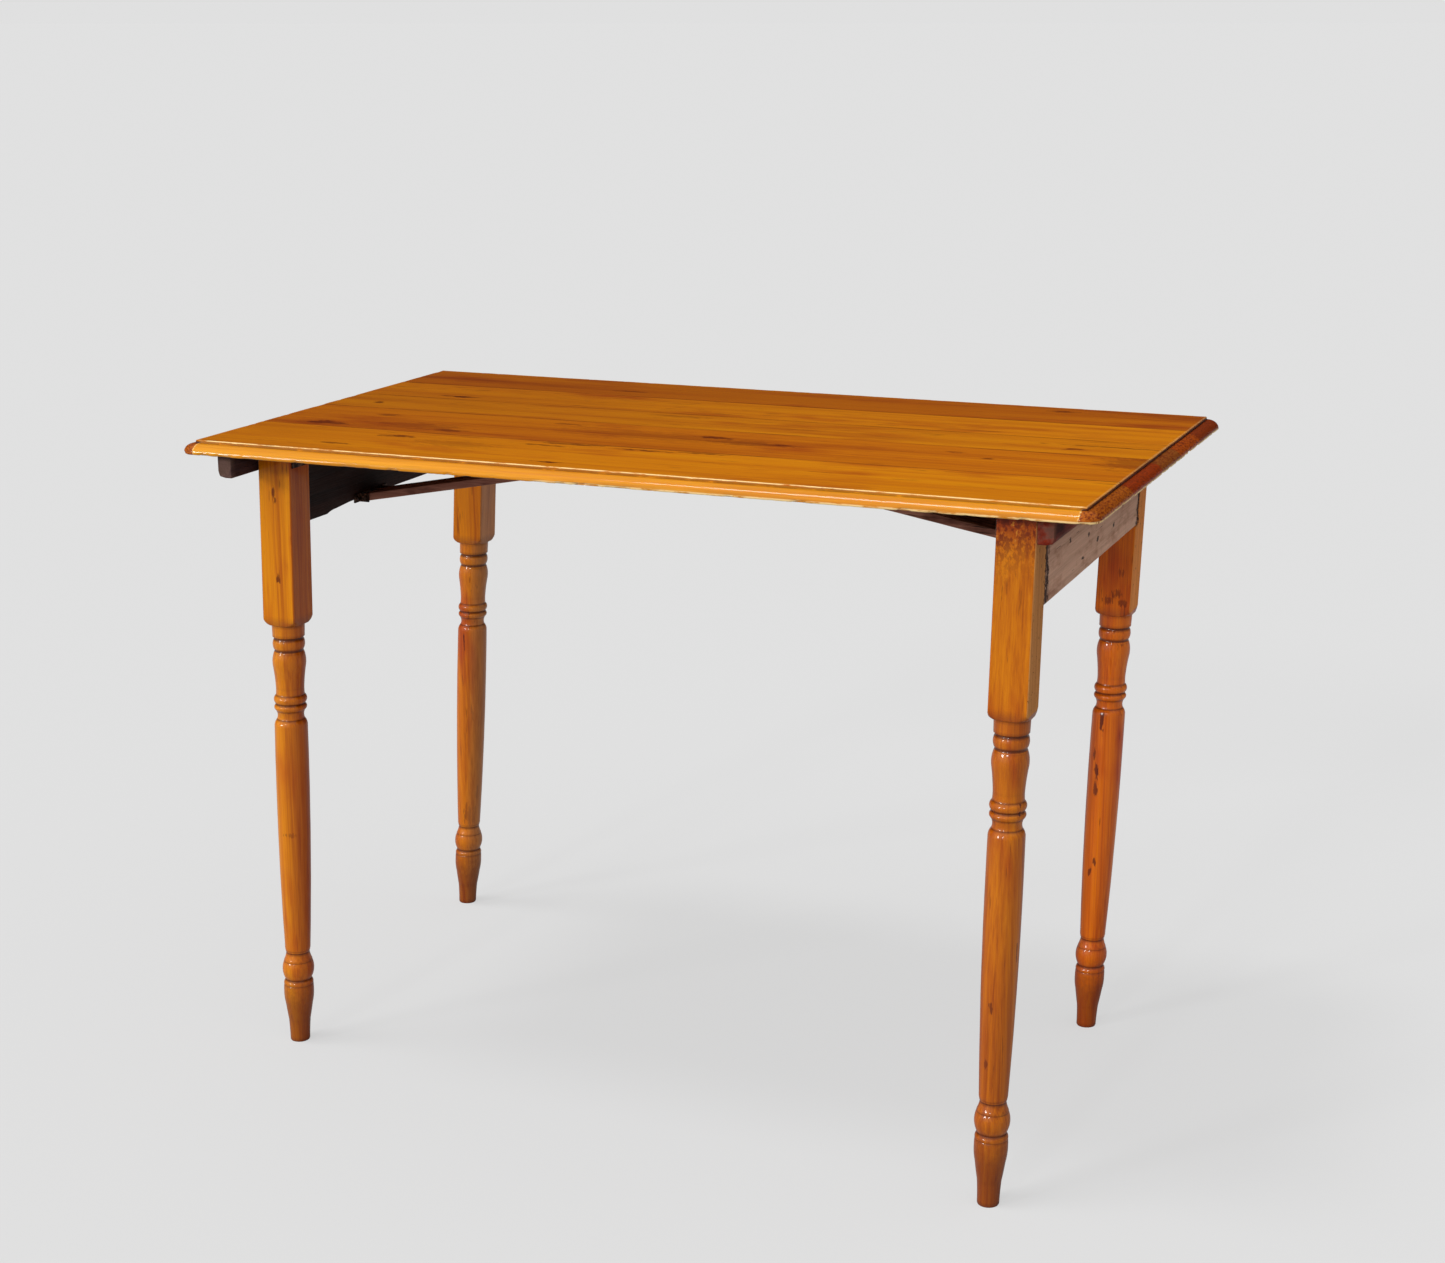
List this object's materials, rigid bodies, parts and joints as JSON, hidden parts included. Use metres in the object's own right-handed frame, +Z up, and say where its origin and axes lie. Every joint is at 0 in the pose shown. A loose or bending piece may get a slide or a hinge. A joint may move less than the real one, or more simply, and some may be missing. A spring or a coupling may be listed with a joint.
{
  "type": "folding table",
  "caption": "Folding wooden work table: moulded board top on two hinged frames of turned legs, each with an apron and a lath brace to a keeper under the top.",
  "frame": {"origin": "on the floor, under the middle of the whole table's bounding box", "axes": "+X along the length of the top, to the right seen from the front; +Y from front to back; +Z up"},
  "size_m": [0.93, 0.5474, 0.66],
  "materials": {
    "top_wood": "amber varnish, worn satin",
    "leg_wood": "orange-brown varnish, satin",
    "apron_wood": "bare weathered wood, matt",
    "batten_wood": "old dark stain, matt",
    "brace_wood": "old dark stain, matt",
    "old_iron": "dark oxidised iron, dull"
  },
  "bodies": {
    "top": {"top_board_front": "top_wood", "top_board_second": "top_wood", "top_board_middle": "top_wood", "top_board_fourth": "top_wood", "top_board_back": "top_wood", "left_batten": "batten_wood", "left_batten_screw_1": "old_iron", "left_batten_screw_2": "old_iron", "left_batten_screw_3": "old_iron", "right_batten": "batten_wood", "right_batten_screw_1": "old_iron", "right_batten_screw_2": "old_iron", "right_batten_screw_3": "old_iron", "keeper_front_cheek": "brace_wood", "keeper_middle_cheek": "brace_wood", "keeper_back_cheek": "brace_wood", "front_left_hinge_top_leaf": "old_iron", "front_left_hinge_pin": "old_iron", "front_left_hinge_top_screw_1": "old_iron", "front_left_hinge_top_screw_2": "old_iron", "front_right_hinge_top_leaf": "old_iron", "front_right_hinge_pin": "old_iron", "front_right_hinge_top_screw_1": "old_iron", "front_right_hinge_top_screw_2": "old_iron", "back_left_hinge_top_leaf": "old_iron", "back_left_hinge_pin": "old_iron", "back_left_hinge_top_screw_1": "old_iron", "back_left_hinge_top_screw_2": "old_iron", "back_right_hinge_top_leaf": "old_iron", "back_right_hinge_pin": "old_iron", "back_right_hinge_top_screw_1": "old_iron", "back_right_hinge_top_screw_2": "old_iron"},
    "left_leg_frame": {"front_left_leg": "leg_wood", "front_left_hinge_leg_leaf": "old_iron", "front_left_hinge_leg_screw_1": "old_iron", "front_left_hinge_leg_screw_2": "old_iron", "back_left_leg": "leg_wood", "back_left_hinge_leg_leaf": "old_iron", "back_left_hinge_leg_screw_1": "old_iron", "back_left_hinge_leg_screw_2": "old_iron", "left_apron": "apron_wood", "left_brace_bracket": "old_iron", "left_brace_pin": "old_iron", "left_bracket_screw_1": "old_iron", "left_bracket_screw_2": "old_iron"},
    "right_leg_frame": {"front_right_leg": "leg_wood", "front_right_hinge_leg_leaf": "old_iron", "front_right_hinge_leg_screw_1": "old_iron", "front_right_hinge_leg_screw_2": "old_iron", "back_right_leg": "leg_wood", "back_right_hinge_leg_leaf": "old_iron", "back_right_hinge_leg_screw_1": "old_iron", "back_right_hinge_leg_screw_2": "old_iron", "right_apron": "apron_wood", "right_brace_bracket": "old_iron", "right_brace_pin": "old_iron", "right_bracket_screw_1": "old_iron", "right_bracket_screw_2": "old_iron"},
    "left_brace": {"left_brace": "brace_wood"},
    "right_brace": {"right_brace": "brace_wood"}
  },
  "joints": [
    {"name": "left_legs_fold", "type": "hinge", "parent": "top", "child": "left_leg_frame", "pos_m": [-0.3721, 0, 0.6436], "axis": [0, -1, 0], "range_deg": [0, 88]},
    {"name": "right_legs_fold", "type": "hinge", "parent": "top", "child": "right_leg_frame", "pos_m": [0.3661, 0, 0.6436], "axis": [0, 1, 0], "range_deg": [0, 88]},
    {"name": "left_brace_fold", "type": "hinge", "parent": "left_leg_frame", "child": "left_brace", "pos_m": [-0.38915, -0.008, 0.5662], "axis": [0, 1, 0], "range_deg": [0, 99]},
    {"name": "right_brace_fold", "type": "hinge", "parent": "right_leg_frame", "child": "right_brace", "pos_m": [0.37977, -0.062, 0.585], "axis": [0, -1, 0], "range_deg": [0, 98]}
  ],
  "couplings": [
    {"joint": "left_brace_fold", "follows": "left_legs_fold", "ratio": 1.1227},
    {"joint": "right_brace_fold", "follows": "right_legs_fold", "ratio": 1.1105}
  ]
}
